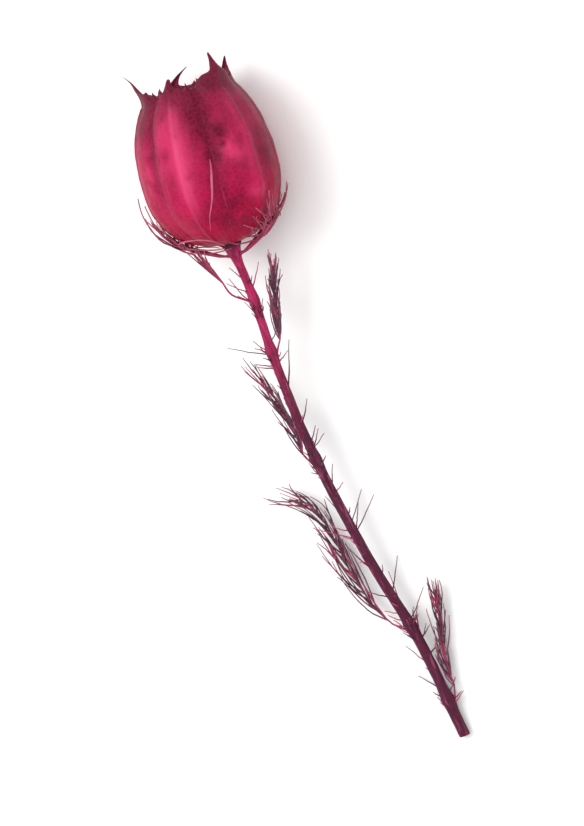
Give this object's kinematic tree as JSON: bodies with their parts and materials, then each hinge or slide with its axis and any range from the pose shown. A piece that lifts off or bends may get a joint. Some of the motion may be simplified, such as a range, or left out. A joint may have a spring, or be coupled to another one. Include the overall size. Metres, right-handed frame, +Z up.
{
  "type": "nigella seed pod",
  "caption": "Dried crimson seed pod with ribbed rounded capsule, pointed horned crown, lacy thread-like bracts and a cut stem with feathery leaves, lying on its side.",
  "frame": {"origin": "centre of the whole object's footprint, on the surface it lies on", "axes": "+Y runs from the stem's cut end to the pod's crown, +Z up off the surface, +X to the right when seen from above with the crown away from the viewer"},
  "size_m": [0.0258, 0.1136, 0.0215],
  "materials": {
    "dyed_capsule": "satin papery seed case, dyed crimson, with a fine net of veins",
    "dyed_stem": "matte dried stem, dyed rose brown, finely ribbed",
    "dyed_threads": "matte dried leaf threads, dyed dark plum"
  },
  "bodies": {
    "root": {"capsule": "dyed_capsule", "stem": "dyed_stem", "bract_1": "dyed_threads", "bract_2": "dyed_threads", "bract_3": "dyed_threads", "bract_4": "dyed_threads", "bract_5": "dyed_threads", "leaf_1": "dyed_threads", "leaf_2": "dyed_threads", "leaf_3": "dyed_threads", "leaf_4": "dyed_threads"}
  },
  "joints": []
}
